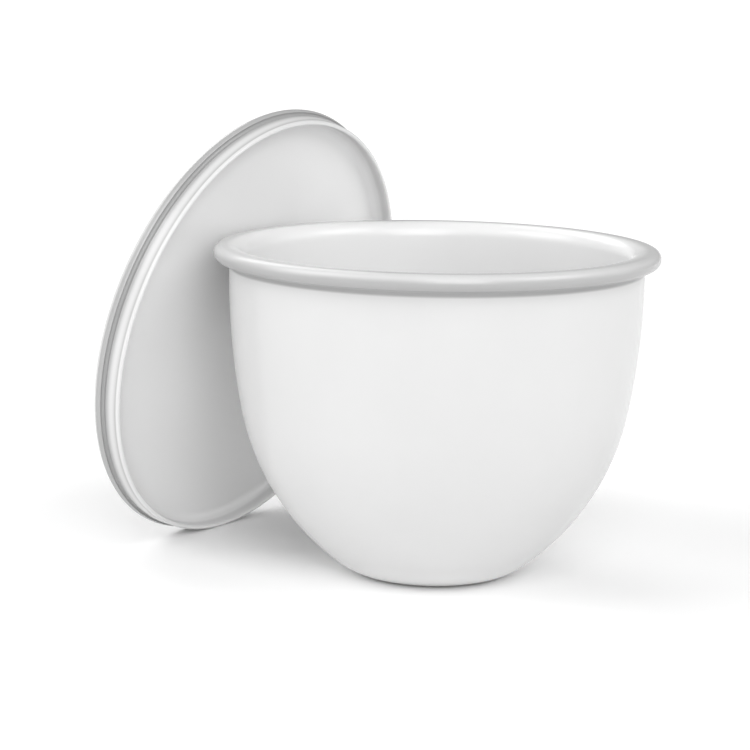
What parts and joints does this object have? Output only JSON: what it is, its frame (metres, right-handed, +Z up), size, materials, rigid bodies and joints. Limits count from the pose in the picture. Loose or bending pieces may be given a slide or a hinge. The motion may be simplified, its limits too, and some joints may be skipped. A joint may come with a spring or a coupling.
{
  "type": "porcelain crucible with lid",
  "caption": "White glazed porcelain crucible, round-bottomed with a small flat foot and rolled rim, its flat cap lid leaning against the rim.",
  "frame": {"origin": "centre of the crucible's flat foot, on the bench", "axes": "+Z up along the crucible's axis; the lid leans on the rim from -X with its open side towards the crucible; the foot faces -Z"},
  "size_m": [0.0724, 0.0642, 0.0613],
  "materials": {
    "crucible_glaze": "white feldspathic glaze, satin gloss",
    "lid_glaze": "white feldspathic glaze, satin gloss"
  },
  "bodies": {
    "crucible": {"crucible": "crucible_glaze"},
    "lid": {"lid": "lid_glaze"}
  },
  "joints": [
    {"name": "lid_lift", "type": "slide", "parent": "crucible", "child": "lid", "axis": [0, 0, 1], "range_m": [0, 0.05]}
  ]
}
